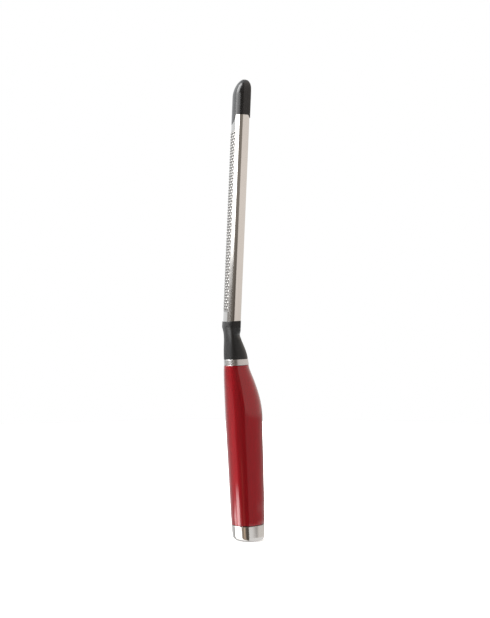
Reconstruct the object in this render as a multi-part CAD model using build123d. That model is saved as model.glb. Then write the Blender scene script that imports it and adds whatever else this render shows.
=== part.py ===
from build123d import *
import math
import os

# A hand-held rasp grater (zester): a stainless channel blade with etched teeth, a soft black tip,
# a black neck, a bright ferrule, a lacquered red handle and a bright butt cap.
#
# Frame, in millimetres: +Z runs up the tool from the butt to the tip, -Y is the side that the
# grating face looks at, +Y is the side of the handle's belly, and X is the width. The origin is
# the centre of the flat end of the butt cap, so the tool stands on z = 0.
#
# The pieces are modelled in the handle's own frame, whose z is the handle's axis. The handle leans
# forward of the flat end's normal by a couple of degrees, and save() leans every piece by that.
# The blade, its tip and the neck's collar are modelled in the blade's own frame: its z runs up
# the blade from the collar's top, its y runs from the crest of the grating face (y = 0) to the
# open back of the channel, and its x is the width. in_blade_frame() moves them to the handle's.

# ---------------------------------------------------------------- driving dimensions
HANDLE_LEAN_DEG = 2.34  # the handle's lean forward, from the normal of the butt's flat end
BLADE_LEAN_DEG = 4.8  # the blade's lean back from the handle's axis
BLADE_FOOT_Y = -11.54  # crest of the grating face where it leaves the collar
BLADE_FOOT_Z = 155.95
BLADE_VISIBLE_LENGTH = 144.6  # from the collar to the tip's seam
BLADE_BURIED_LENGTH = 5.5  # inside the collar
SHEET = 0.6  # the blade's thickness
FACE_HALF_WIDTH = 9.0  # the crowned grating face
FACE_CROWN = 1.2  # how far the face's middle stands above its edges
CORNER_RADIUS = 5.0  # from the face into the side walls
CHANNEL_DEPTH = 10.3  # from the crest to the side walls' free edges
WALL_END_RADIUS = 1.8  # the side walls' corner at the tip

TOOTH_PITCH = 4.0  # along the blade, within one column
TOOTH_COLUMN_STEP = 2.1  # across the blade
TOOTH_WIDTH = 2.2
TOOTH_GAP = 1.1  # the opening's length along the blade
TOOTH_RISE = 0.42  # how far the cutting edge stands above the face
TOOTH_RAMP = 1.25  # length of the ramp behind the cutting edge
FIRST_TOOTH_Z = 7.9  # above the collar
TOOTH_ROWS = 31  # full pitches

TONGUE_DEPTH = 5.6  # the tip's tongue, laid into the grating face
TIP_LENGTH = 26.6  # from the seam to the end
TIP_PROUD = 0.12  # how far the tip stands out over the blade
TIP_BACK_PROUD = 0.6
TIP_APEX_DEPTH = 6.9  # the end's place between crest and back
TIP_FRONT_CURVE = 11.5  # where the front starts to curve back, below the end
TIP_BACK_CURVE = 5.5
TIP_SIDE_CURVE = 13.0
INSERT_LENGTH_IN_CHANNEL = 10.0
INSERT_LENGTH_IN_TIP = 15.0
INSERT_SHELL = 2.2  # the soft tip's thickness over its rigid insert
INSERT_CLEARANCE = 0.05  # between the insert and the sheet
INSERT_RECESS = 0.4  # how far the insert lies inside the channel's open back
INSERT_NOSE_RADIUS = 1.5

NECK_BASE_Z = 128.5
SPIGOT_CLEARANCE = 0.2
NECK_SPIGOT_Z = 112.0  # lower end of the neck's spigot, in the handle's mouth
RING_BASE_Z = 124.0
HANDLE_BASE_Z = 11.3
SEAM_REVEAL = 0.12  # a hairline left between pieces that meet end to end
RIM_BEVEL = 0.25  # on the outer edges of those pieces
HANDLE_WALL = 2.2
CORE_CLEARANCE = 0.15
CORE_TOP_Z = 111.5
CORE_BASE_Z = 20.1
CORE_POCKET = (8.0, 30.0, 12.0)  # coring that keeps the moulding's walls even
CORE_POCKET_X = 9.5
CORE_POCKET_HEIGHTS = (34.0, 50.0, 86.0, 100.0)

TANG_WIDTH = 12.0
TANG_THICKNESS = 2.0
TANG_TOP_Z = 152.0
TANG_BASE_Z = 62.0
TANG_Y = -4.9
TANG_CORNER_RADIUS = 2.0
TANG_SLOT_CLEARANCE = 0.1  # on each side, in the core
TANG_KEY_RADIUS = 2.0  # holes that the neck's plastic fills
TANG_KEY_HEIGHTS = (132.5, 141.5)
TANG_PIN_RADIUS = 1.5
TANG_PIN_Z = 72.0
TANG_PIN_Y = -2.5
TANG_PIN_LENGTH = 14.0

CAP_WALL = 0.9
CAP_FLOOR = 1.1
CAP_RIM_RADIUS = 2.4
CAP_LIP_RADIUS = 0.3
BUTT_TAPER = 0.045  # how much the butt draws in, per millimetre down from the handle
PLUG_CLEARANCE = 0.1  # between the plug and the cap
PLUG_WAIST = (9.6, 8.4)  # half width and half depth where the plug's foot meets its spigot
PLUG_TOP_Z = 19.9
SCREW_RADIUS = 1.75
SCREW_HEAD_RADIUS = 3.3
SCREW_HEAD_HEIGHT = 2.2
SCREW_HEAD_Z = 2.4
SCREW_HEAD_EDGE = 0.4
SCREW_SOCKET = (3.6, 0.9, 2.4)  # each bar of the cross: length, width, and twice its depth
SCREW_LENGTH = 24.0
SCREW_RUNNING_CLEARANCE = 0.1
SCREW_HEAD_CLEARANCE = 0.3
SCREW_PILOT_SPARE = 0.5  # how much deeper the core's hole is than the screw
SECTION_STEP = 7.0  # the height between two sections of the handle's lofts

# The handle's outline: height, middle in y, half depth in y, half width in x. Every section is
# wider than it is deep, so that all the ellipses start at the same place and the loft runs true.
HANDLE_STATIONS = [
    (11.3, 0.0, 11.75, 12.9),
    (31.0, 0.1, 12.2, 13.3),
    (54.0, 0.15, 12.6, 13.5),
    (73.0, 0.1, 12.9, 13.4),
    (88.0, 0.1, 13.1, 13.3),
    (96.0, -0.05, 12.9, 13.1),
    (103.0, -0.9, 12.15, 12.5),
    (110.0, -1.9, 11.15, 11.8),
    (117.0, -2.95, 9.95, 11.05),
    (124.0, -3.7, 8.8, 10.4),
]
# The neck below its collar: height, lean, middle in y, depth in front of the middle, depth behind
# it, half width, and the powers of the front and back halves: 2 is an ellipse, more is boxier.
NECK_SECTIONS = [
    (128.5, 0.0, -3.95, 8.5, 8.5, 10.3, 2.0, 2.0),
    (133.0, 0.4, -4.2, 8.15, 7.85, 10.2, 2.0, 2.0),
    (137.5, 1.2, -4.8, 7.3, 6.95, 10.2, 2.0, 2.0),
    (142.0, 2.4, -5.4, 6.35, 5.85, 10.5, 2.05, 2.1),
    (146.5, 3.8, -5.85, 5.9, 5.2, 11.4, 2.2, 2.3),
]
# The collar, in the blade's frame: its middle, its height below the top, and its powers.
COLLAR_MIDDLE = 6.5
COLLAR_HEIGHT = 4.6
COLLAR_SLANT_DEG = 6.3  # its top rises towards the back by this
COLLAR_FRONT_POWER = 2.6
COLLAR_BACK_POWER = 10.0
COLLAR_WALL = 0.5  # outside the blade
COLLAR_TOP_RADIUS = 0.3
OUTLINE_POINTS = 48  # round one of the neck's sections

os.makedirs("parts", exist_ok=True)


# ---------------------------------------------------------------- helpers
def save(shape, node):
    """Lean a sub-part from the handle's frame into the tool's, and write it as parts/NODE.step."""
    shape = Rot(HANDLE_LEAN_DEG, 0, 0) * shape
    solids = shape.solids()
    size = shape.bounding_box().size
    export_step(Compound(children=[Solid(s.wrapped) for s in solids]), f"parts/{node}.step")
    print(node, len(solids), round(sum(s.volume for s in solids)), [round(v, 1) for v in size])


def in_blade_frame(shape):
    """Move a shape from the blade's own frame to the handle's."""
    return Location((0, BLADE_FOOT_Y, BLADE_FOOT_Z), (-BLADE_LEAN_DEG, 0, 0)) * shape


def above_base(height):
    """A block, in the handle's frame, of all that is more than a height above the butt's flat end."""
    block = Box(80, 80, 60, align=(Align.CENTER, Align.CENTER, Align.MIN))
    return Rot(-HANDLE_LEAN_DEG, 0, 0) * Pos(0, 0, height) * block


def oval(z, middle_y, half_depth, half_width, inset=0.0):
    """A flat elliptical section at height z, drawn in by inset."""
    return Pos(0, middle_y, z) * Ellipse(half_width - inset, half_depth - inset)


def slopes_at(stations, index):
    """How fast each value changes with height at a station, from the stations on either side."""
    low, high = stations[max(index - 1, 0)], stations[min(index + 1, len(stations) - 1)]
    return [(b - a) / (high[0] - low[0]) for a, b in zip(low[1:], high[1:])]


def station_at(stations, z):
    """The section at height z, on the smooth cubic that passes through the stations."""
    passed = sum(station[0] <= z for station in stations) - 1
    index = min(max(passed, 0), len(stations) - 2)
    low, high = stations[index], stations[index + 1]
    span = high[0] - low[0]
    t = (z - low[0]) / span
    weights = (
        2 * t**3 - 3 * t**2 + 1,
        (t**3 - 2 * t**2 + t) * span,
        3 * t**2 - 2 * t**3,
        (t**3 - t**2) * span,
    )
    columns = zip(low[1:], slopes_at(stations, index), high[1:], slopes_at(stations, index + 1))
    return (z, *(sum(w * v for w, v in zip(weights, column)) for column in columns))


def lofted(stations, low_z, high_z, inset=0.0):
    """A smooth solid through evenly spaced sections: uneven steps would make the loft swing out."""
    count = max(3, round((high_z - low_z) / SECTION_STEP))
    heights = [low_z + (high_z - low_z) * step / count for step in range(count + 1)]
    return loft([oval(*station_at(stations, z), inset) for z in heights])


# ---------------------------------------------------------------- the channel's section
crown_radius = (FACE_HALF_WIDTH**2 + FACE_CROWN**2) / (2 * FACE_CROWN)
crown_angle = math.asin(FACE_HALF_WIDTH / crown_radius)
corner_x = (crown_radius - CORNER_RADIUS) * math.sin(crown_angle)
corner_y = crown_radius - (crown_radius - CORNER_RADIUS) * math.cos(crown_angle)
wall_x = corner_x + CORNER_RADIUS


def channel_line(inset, depth):
    """The blade's outer line drawn in by inset, from one free edge round to the other.

    A straight wall, a corner arc, the crown's arc, a corner arc and a straight wall, all tangent.
    """
    radius = CORNER_RADIUS - inset
    crown = crown_radius - inset
    middle = (math.pi / 2 - crown_angle) / 2  # half the corner's sweep
    bend = -(math.pi / 2 - crown_angle) + middle
    bend_x = corner_x + radius * math.cos(bend)
    bend_y = corner_y + radius * math.sin(bend)
    edge_x = crown * math.sin(crown_angle)
    edge_y = crown_radius - crown * math.cos(crown_angle)
    right_wall = Line((corner_x + radius, depth), (corner_x + radius, corner_y))
    right_bend = ThreePointArc((corner_x + radius, corner_y), (bend_x, bend_y), (edge_x, edge_y))
    face = ThreePointArc((edge_x, edge_y), (0, inset), (-edge_x, edge_y))
    left_bend = ThreePointArc((-edge_x, edge_y), (-bend_x, bend_y), (-corner_x - radius, corner_y))
    left_wall = Line((-corner_x - radius, corner_y), (-corner_x - radius, depth))
    return right_wall + right_bend + face + left_bend + left_wall


def filled_section(inset, depth):
    """The channel's outline closed straight across its back, as a face."""
    line = channel_line(inset, depth)
    half = corner_x + CORNER_RADIUS - inset
    return make_face(line + Line((-half, depth), (half, depth)))


def sheet_section():
    """The bent sheet's own section."""
    return filled_section(0, CHANNEL_DEPTH) - filled_section(SHEET, CHANNEL_DEPTH + 1)


def standing(section, low_z, high_z):
    """A section drawn in x and y, pulled up from low_z to high_z."""
    return Pos(0, 0, low_z) * extrude(section, high_z - low_z)


# ---------------------------------------------------------------- the blade
def crown_place(x, z):
    """A place on the crowned face at x, turned so that its -y looks straight out of the face."""
    y = crown_radius - math.sqrt(crown_radius**2 - x**2)
    return Location((x, y, z), (0, 0, math.degrees(math.asin(x / crown_radius))))


def tooth_places():
    """The teeth stand in staggered rows: five in a row, then four between them."""
    places = []
    for half_row in range(2 * TOOTH_ROWS + 1):
        columns = (-4, -2, 0, 2, 4) if half_row % 2 == 0 else (-3, -1, 1, 3)
        z = FIRST_TOOTH_Z + half_row * TOOTH_PITCH / 2
        places += [crown_place(column * TOOTH_COLUMN_STEP, z) for column in columns]
    return places


def blade_end():
    """What is left of the blade below its end: notched for the tongue, its walls' ends rounded."""
    top = BLADE_VISIBLE_LENGTH
    reach = wall_x + 1
    bottom = -20
    half = FACE_HALF_WIDTH
    sides = Polyline(
        (half, top), (reach, top), (reach, bottom), (-reach, bottom), (-reach, top), (-half, top)
    )
    notch = ThreePointArc((-half, top), (0, top - TONGUE_DEPTH), (half, top))
    front = extrude(Plane.XZ * make_face(sides + notch), CHANNEL_DEPTH + 2, both=True)
    bend_start = (CHANNEL_DEPTH - WALL_END_RADIUS, top)
    bend_end = (CHANNEL_DEPTH, top - WALL_END_RADIUS)
    side_outline = make_face(
        Polyline((-3, bottom), (-3, top), bend_start)
        + RadiusArc(bend_start, bend_end, WALL_END_RADIUS)
        + Polyline(bend_end, (CHANNEL_DEPTH, bottom), (-3, bottom))
    )
    side = extrude(Plane.YZ * side_outline, reach, both=True)
    return front & side


def grater_blade(end_shape):
    """One bent sheet: crowned face, round corners and side walls, its teeth etched and raised."""
    sheet = standing(sheet_section(), -BLADE_BURIED_LENGTH, BLADE_VISIBLE_LENGTH) & end_shape
    opening = extrude(Plane.XZ * Pos(0, 0) * Rectangle(TOOTH_WIDTH, TOOTH_GAP), 2 * SHEET, both=True)
    edge_z = TOOTH_GAP / 2
    ramp_outline = Polyline(
        (SHEET / 2, edge_z), (-TOOTH_RISE, edge_z), (SHEET / 2, edge_z + TOOTH_RAMP), close=True
    )
    ramp = extrude(Plane.YZ * make_face(ramp_outline), TOOTH_WIDTH / 2, both=True)
    places = tooth_places()
    perforated = sheet - [place * opening for place in places]
    return perforated + [place * ramp for place in places]


# ---------------------------------------------------------------- the tip
def tip_block():
    """The tip's outer form above the seam: the channel's outline, rounded off in all three views."""
    seam, end = BLADE_VISIBLE_LENGTH, BLADE_VISIBLE_LENGTH + TIP_LENGTH
    back = CHANNEL_DEPTH + TIP_BACK_PROUD
    block = standing(filled_section(-TIP_PROUD, back), seam, end)
    half = wall_x + TIP_PROUD
    low = seam - 1
    side_z, front_z, back_z = end - TIP_SIDE_CURVE, end - TIP_FRONT_CURVE, end - TIP_BACK_CURVE
    apex = TIP_APEX_DEPTH
    front_outline = make_face(
        Polyline((half, side_z), (half, low), (-half, low), (-half, side_z))
        + EllipticalCenterArc((0, side_z), half, TIP_SIDE_CURVE, 0, arc_size=180)
    )
    side_outline = make_face(
        EllipticalCenterArc((apex, back_z), back - apex, TIP_BACK_CURVE, 0, arc_size=90)
        + EllipticalCenterArc((apex, front_z), apex + TIP_PROUD, TIP_FRONT_CURVE, 90, arc_size=90)
        + Polyline((-TIP_PROUD, front_z), (-TIP_PROUD, low), (back, low), (back, back_z))
    )
    block &= extrude(Plane.XZ * front_outline, 2 * back, both=True)
    block &= extrude(Plane.YZ * side_outline, half + 1, both=True)
    return block


def tip_insert_block():
    """The rigid insert: it fills the channel's end and stands up inside the soft tip."""
    seam = BLADE_VISIBLE_LENGTH
    filling = filled_section(SHEET + INSERT_CLEARANCE, CHANNEL_DEPTH - INSERT_RECESS)
    in_channel = standing(filling, seam - INSERT_LENGTH_IN_CHANNEL, seam)
    narrower = filled_section(INSERT_SHELL, CHANNEL_DEPTH + TIP_BACK_PROUD - INSERT_SHELL)
    in_tip = standing(narrower, seam, seam + INSERT_LENGTH_IN_TIP)
    nose = fillet(in_tip.faces().sort_by(Axis.Z)[-1].edges(), INSERT_NOSE_RADIUS)
    return in_channel + nose


def soft_tip(end_shape, insert):
    """The moulded tip: its block, the tongue in the face, and the corners behind the rounded walls."""
    seam = BLADE_VISIBLE_LENGTH
    whole_end = standing(sheet_section(), seam - TONGUE_DEPTH - 1, seam)
    skin = [s for s in (whole_end - end_shape).solids() if s.volume > 0.5]
    return (tip_block() + skin) - insert


# ---------------------------------------------------------------- the neck, tang and ferrule
def tang_bar():
    """A flat bar that runs from the neck's collar down into the handle's core."""
    length = TANG_TOP_Z - TANG_BASE_Z
    bar = Pos(0, TANG_Y, (TANG_TOP_Z + TANG_BASE_Z) / 2) * Box(TANG_WIDTH, TANG_THICKNESS, length)
    bar = fillet(bar.edges().filter_by(Axis.Y), TANG_CORNER_RADIUS)
    key = Rot(90, 0, 0) * Cylinder(TANG_KEY_RADIUS, 4 * TANG_THICKNESS)
    holes = [Pos(0, TANG_Y, z) * key for z in TANG_KEY_HEIGHTS]
    return bar - [*holes, tang_pin()]


def tang_pin():
    """The dowel that ties the tang to the handle's core."""
    return Pos(0, TANG_PIN_Y, TANG_PIN_Z) * Rot(90, 0, 0) * Cylinder(TANG_PIN_RADIUS, TANG_PIN_LENGTH)


def boxed_oval(front, back, half_width, front_power, back_power):
    """A closed curve that is a superellipse of its own power in front of y = 0 and behind it."""
    points = []
    for step in range(OUTLINE_POINTS):
        across = math.cos(2 * math.pi * step / OUTLINE_POINTS)
        along = math.sin(2 * math.pi * step / OUTLINE_POINTS)
        power, depth = (front_power, front) if along < 0 else (back_power, back)
        reach = (abs(across) ** power + abs(along) ** power) ** (-1 / power)
        points.append((half_width * reach * across, depth * reach * along))
    return make_face(Spline(*points, periodic=True))


def collar_section(height, slant=0.0):
    """The collar's outline round the blade, at a height in the blade's frame, its back raised."""
    half_width = wall_x + COLLAR_WALL
    front = COLLAR_MIDDLE + COLLAR_WALL
    back = CHANNEL_DEPTH + COLLAR_WALL - COLLAR_MIDDLE
    outline = boxed_oval(front, back, half_width, COLLAR_FRONT_POWER, COLLAR_BACK_POWER)
    return in_blade_frame(Location((0, COLLAR_MIDDLE, height), (slant, 0, 0)) * outline)


def neck_body(blade, tang):
    """The moulded neck: spigot, flared body and collar, moulded round the blade and the tang."""
    collar_base = collar_section(-COLLAR_HEIGHT)
    rising = [
        Location((0, middle, z), (-lean, 0, 0)) * boxed_oval(*shape)
        for z, lean, middle, *shape in NECK_SECTIONS
    ]
    body = loft([*rising, collar_base])
    collar = loft([collar_base, collar_section(0, COLLAR_SLANT_DEG)])
    collar = fillet(collar.faces().sort_by(Axis.Z)[-1].edges(), COLLAR_TOP_RADIUS)
    mouth = HANDLE_STATIONS[-1]
    spigot = standing(
        oval(0, *mouth[1:], HANDLE_WALL + SPIGOT_CLEARANCE), NECK_SPIGOT_Z, NECK_BASE_Z + 1
    )
    return (body + collar + spigot) - blade - tang


def ferrule_ring():
    """The bright band between the neck and the handle."""
    low = HANDLE_STATIONS[-1]
    middle, depth, half_width = NECK_SECTIONS[0][2], NECK_SECTIONS[0][3], NECK_SECTIONS[0][5]
    base = (RING_BASE_Z + SEAM_REVEAL, *low[1:])
    top = (NECK_BASE_Z - SEAM_REVEAL, middle, depth, half_width)
    bore = standing(oval(0, *low[1:], HANDLE_WALL), RING_BASE_Z - 1, NECK_BASE_Z + 1)
    band = loft([oval(*base), oval(*top)])
    return chamfer(band.faces().filter_by(Axis.Z).edges(), RIM_BEVEL) - bore


# ---------------------------------------------------------------- the handle
def handle_shell():
    """The lacquered shell: open at both ends, with an even wall."""
    outer = lofted(HANDLE_STATIONS, HANDLE_BASE_Z, RING_BASE_Z)
    cavity = lofted(HANDLE_STATIONS, HANDLE_BASE_Z, RING_BASE_Z, HANDLE_WALL)
    return chamfer(outer.faces().filter_by(Axis.Z).edges(), RIM_BEVEL) - cavity


def handle_core(tang, screw_pilot):
    """The core inside the shell: it grips the tang, and is cored out to even walls."""
    core = lofted(HANDLE_STATIONS, CORE_BASE_Z, CORE_TOP_Z, HANDLE_WALL + CORE_CLEARANCE)
    pocket = Box(*CORE_POCKET)
    pockets = [
        Pos(side * CORE_POCKET_X, 0, z) * pocket for side in (-1, 1) for z in CORE_POCKET_HEIGHTS
    ]
    spare = 2 * TANG_SLOT_CLEARANCE
    slot = Pos(0, TANG_Y, (TANG_BASE_Z + CORE_TOP_Z) / 2 + 1) * Box(
        TANG_WIDTH + spare, TANG_THICKNESS + spare, CORE_TOP_Z - TANG_BASE_Z + 3
    )
    return core - pockets - slot - tang_pin() - screw_pilot - tang


# ---------------------------------------------------------------- the butt
def butt_sections(inset, low_z, high_z):
    """The butt's slightly tapered oval, drawn in by inset."""
    top = HANDLE_STATIONS[0]
    heights = (low_z, high_z)
    return [
        oval(z, top[1], *(d - BUTT_TAPER * (top[0] - z) for d in top[2:]), inset) for z in heights
    ]


def butt_cap():
    """A drawn cup with a flat end and a round rim."""
    top = HANDLE_BASE_Z - SEAM_REVEAL
    cup = loft(butt_sections(0, -2, top)) & above_base(0)
    cup = fillet(cup.faces().sort_by(Axis.Z)[0].edges(), CAP_RIM_RADIUS)
    cup = fillet(cup.faces().sort_by(Axis.Z)[-1].edges(), CAP_LIP_RADIUS)
    return cup - (loft(butt_sections(CAP_WALL, -2, top + 1)) & above_base(CAP_FLOOR))


def screw():
    """The self-tapping screw that holds the plug to the core, under the cap."""
    middle = HANDLE_STATIONS[0][1]
    shank = Pos(0, middle, SCREW_HEAD_Z) * Cylinder(
        SCREW_RADIUS, SCREW_LENGTH, align=(Align.CENTER, Align.CENTER, Align.MIN)
    )
    head = Pos(0, middle, SCREW_HEAD_Z) * Cylinder(
        SCREW_HEAD_RADIUS, SCREW_HEAD_HEIGHT, align=(Align.CENTER, Align.CENTER, Align.MIN)
    )
    cross = [Pos(0, middle, SCREW_HEAD_Z) * Rot(0, 0, turn) * Box(*SCREW_SOCKET) for turn in (0, 90)]
    return shank + fillet(head.edges(), SCREW_HEAD_EDGE) - cross


def end_plug():
    """The plug that carries the cap: its foot fills the cup, its spigot fills the shell's end."""
    foot = loft(butt_sections(CAP_WALL + PLUG_CLEARANCE, -2, HANDLE_BASE_Z - 0.3))
    foot &= above_base(CAP_FLOOR + PLUG_CLEARANCE)
    spigot = lofted(HANDLE_STATIONS, HANDLE_BASE_Z, PLUG_TOP_Z, HANDLE_WALL + CORE_CLEARANCE)
    middle = HANDLE_STATIONS[0][1]
    join = standing(
        Pos(0, middle) * Ellipse(*PLUG_WAIST), HANDLE_BASE_Z - 1, HANDLE_BASE_Z + 1
    )
    upwards = (Align.CENTER, Align.CENTER, Align.MIN)
    recess = Pos(0, middle, 0) * Cylinder(
        SCREW_HEAD_RADIUS + SCREW_HEAD_CLEARANCE, SCREW_HEAD_Z + SCREW_HEAD_HEIGHT, align=upwards
    )
    hole = Pos(0, middle, 0) * Cylinder(
        SCREW_RADIUS + SCREW_RUNNING_CLEARANCE, PLUG_TOP_Z + 10, align=upwards
    )
    return foot + spigot + join - recess - hole


# ---------------------------------------------------------------- build and write
end_shape = blade_end()
blade = in_blade_frame(grater_blade(end_shape))
insert_block = tip_insert_block()
tang = tang_bar()
cap_screw = screw()
blunt_screw = Pos(0, HANDLE_STATIONS[0][1], SCREW_HEAD_Z) * Cylinder(
    SCREW_RADIUS, SCREW_LENGTH + SCREW_PILOT_SPARE, align=(Align.CENTER, Align.CENTER, Align.MIN)
)

save(blade, "grater_blade")
save(in_blade_frame(soft_tip(end_shape, insert_block)), "soft_tip")
save(in_blade_frame(insert_block), "tip_insert")
save(tang, "tang_bar")
save(tang_pin(), "tang_pin")
save(neck_body(blade, tang), "neck")
save(ferrule_ring(), "ferrule_ring")
save(handle_shell(), "handle_shell")
save(handle_core(tang, blunt_screw), "handle_core")
save(butt_cap(), "butt_cap")
save(end_plug(), "end_plug")
save(cap_screw, "cap_screw")
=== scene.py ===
# %% [markdown]
# # A hand-held rasp grater
#
# This kitchen tool is a channel of thin stainless steel, photo-etched with rows of small raised teeth,
# on a handle of moulded and lacquered plastic. It stands on its butt cap here, which is how it is
# looked at, so +Z runs up the handle, -Y is the grating side and X is the width.
#
# The tool's sizes were settled first, in a CAD model. That model is opened below as a fixed frame, and
# every surface made here keeps its CAD part's place and size, to about a tenth of a millimetre. What is
# added is what the eye judges: fair curves, sharp little teeth, soft edges and honest finishes.

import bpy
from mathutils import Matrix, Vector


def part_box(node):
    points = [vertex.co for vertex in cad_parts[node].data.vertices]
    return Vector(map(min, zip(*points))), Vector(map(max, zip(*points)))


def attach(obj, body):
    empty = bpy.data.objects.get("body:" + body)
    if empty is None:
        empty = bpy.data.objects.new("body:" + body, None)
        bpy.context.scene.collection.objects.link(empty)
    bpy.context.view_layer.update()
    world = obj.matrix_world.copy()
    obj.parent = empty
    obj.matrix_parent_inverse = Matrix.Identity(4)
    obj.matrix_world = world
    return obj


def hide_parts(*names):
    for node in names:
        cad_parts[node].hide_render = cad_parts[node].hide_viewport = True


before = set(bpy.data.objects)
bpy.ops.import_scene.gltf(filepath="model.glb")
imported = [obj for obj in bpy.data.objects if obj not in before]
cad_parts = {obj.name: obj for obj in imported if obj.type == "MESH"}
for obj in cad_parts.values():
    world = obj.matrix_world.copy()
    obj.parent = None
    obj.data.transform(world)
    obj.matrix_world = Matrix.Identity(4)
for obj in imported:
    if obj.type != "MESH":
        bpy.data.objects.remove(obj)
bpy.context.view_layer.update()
print("CAD parts:", ", ".join(sorted(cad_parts)))

# %% Units and libraries
import math

import bmesh
import bpy
import numpy as np
from mathutils import Matrix, Vector

MM = 0.001  # Blender works in metres, and this tool is easier to think about in millimetres

# %% [markdown]
# ## The camera
#
# A long tool that stands upright is looked at from its side, level with its middle, and turned a little
# so that the grating face shows as a thin strip. A long lens from under a metre away keeps its edges
# nearly parallel, and still looks down on the butt cap enough to curve its seam.

# %% Place the camera
VIEW_AZIMUTH = math.radians(81.0)  # 0 looks along +Y, 90 looks along -X
VIEW_DISTANCE = 850.0
VIEW_TARGET = np.array([0.0, -2.6, 163.5])
VIEW_HEIGHT = 438.8  # the height of the tool's plane that the camera takes in
SENSOR_HEIGHT = 24.0

away = np.array([math.sin(VIEW_AZIMUTH), -math.cos(VIEW_AZIMUTH), 0.0])
level = np.array([math.cos(VIEW_AZIMUTH), math.sin(VIEW_AZIMUTH), 0.0])
upright = np.array([0.0, 0.0, 1.0])

camera = bpy.data.objects.new("camera", bpy.data.cameras.new("camera"))
bpy.context.scene.collection.objects.link(camera)
bpy.context.scene.camera = camera
camera.data.sensor_fit = "VERTICAL"
camera.data.sensor_height = SENSOR_HEIGHT
camera.data.lens = SENSOR_HEIGHT * VIEW_DISTANCE / VIEW_HEIGHT
camera.data.clip_start = 0.02
turned = Matrix(np.column_stack([level, upright, away]).tolist()).to_4x4()
place = Vector((VIEW_TARGET + away * VIEW_DISTANCE) * MM)
camera.matrix_world = Matrix.Translation(place) @ turned
print("lens", round(camera.data.lens, 1), "mm")

# %% [markdown]
# ## Colours, and one way to add a node
#
# Colours are written as the hex values that a paint or screen would use. Those are sRGB, and the
# renderer works in linear light, so one function turns them over. All materials are built from nodes
# with one small function that sets a node's values and plugs in its links.

# %% Helpers for materials
def linear(hex_colour):
    """A hex colour as linear light: c / 12.92 below 0.04045, else ((c + 0.055) / 1.055) ** 2.4."""
    parts = np.array([int(hex_colour[i : i + 2], 16) for i in (1, 3, 5)]) / 255.0
    light = np.where(parts <= 0.04045, parts / 12.92, ((parts + 0.055) / 1.055) ** 2.4)
    return (*light.tolist(), 1.0)


def darker(hex_colour, share):
    """A hex colour as linear light, with a share of the light taken away."""
    return (*((1 - share) * part for part in linear(hex_colour)[:3]), 1.0)


def add(tree, kind, settings=None, links=None):
    """Add a node, set its properties and sockets, and link its sockets to other nodes' outputs."""
    node = tree.nodes.new("ShaderNode" + kind)
    for key, value in (settings or {}).items():
        if isinstance(key, str) and hasattr(node, key):
            setattr(node, key, value)
        else:
            node.inputs[key].default_value = value
    for key, source in (links or {}).items():
        tree.links.new(source, node.inputs[key])
    return node


def new_material(name):
    """An empty material and its node tree."""
    material = bpy.data.materials.new(name)
    material.use_nodes = True
    material.node_tree.nodes.clear()
    return material, material.node_tree


def per_mm(size):
    """The scale that a texture node needs for features of that size in millimetres."""
    return 1.0 / (size * MM)


# %% [markdown]
# ## The studio
#
# Polished metal has no colour of its own to speak of: it shows the room. So the room is designed from
# what the metal should show from one side to the other. A large white softbox stands to the left,
# above eye level, over a grey wall, and its upper part is the hottest. The near side of the room is
# dark, which gives every round surface its dark stripe. A pale warm wall and a white floor fill the
# right. Low on the left there are two bright windows, which the glossy handle picks up near its foot.
#
# The room could be built from lamps and cards. Here it is painted on the world instead, as patches of
# light in degrees of azimuth and elevation, because that gives clean reflections with little noise.
# The camera itself sees plain white, and the lamp overhead lights the room without being mirrored.

# %% Helpers for the room
world = bpy.data.worlds.new("studio")
bpy.context.scene.world = world
world.use_nodes = True
room = world.node_tree
room.nodes.clear()

direction = add(room, "SeparateXYZ", links={0: add(room, "TexCoord").outputs["Generated"]})
turn = add(
    room,
    "Math",
    {"operation": "ARCTAN2"},
    {0: direction.outputs["Y"], 1: direction.outputs["X"]},
)
azimuth = add(room, "Math", {"operation": "DEGREES"}, {0: turn.outputs[0]})
rise = add(room, "Math", {"operation": "ARCSINE"}, {0: direction.outputs["Z"]})
elevation = add(room, "Math", {"operation": "DEGREES"}, {0: rise.outputs[0]})


def edge(source, at, softness, upwards):
    """1 on one side of an angle and 0 on the other, with a smooth step of the given softness."""
    limits = {"From Min": at - softness, "From Max": at + softness}
    ends = {"To Min": 0.0 if upwards else 1.0, "To Max": 1.0 if upwards else 0.0}
    settings = {"interpolation_type": "SMOOTHSTEP", **limits, **ends}
    return add(room, "MapRange", settings, {"Value": source.outputs[0]}).outputs["Result"]


def both(first, second):
    """The product of two masks."""
    return add(room, "Math", {"operation": "MULTIPLY"}, {0: first, 1: second}).outputs[0]


def patch(azimuths, elevations, softness):
    """A mask that is 1 inside a range of azimuths and elevations, in degrees from +X towards +Y."""
    beside, above = softness
    across = both(edge(azimuth, azimuths[0], beside, True), edge(azimuth, azimuths[1], beside, False))
    up = both(edge(elevation, elevations[0], above, True), edge(elevation, elevations[1], above, False))
    return both(across, up)


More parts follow.
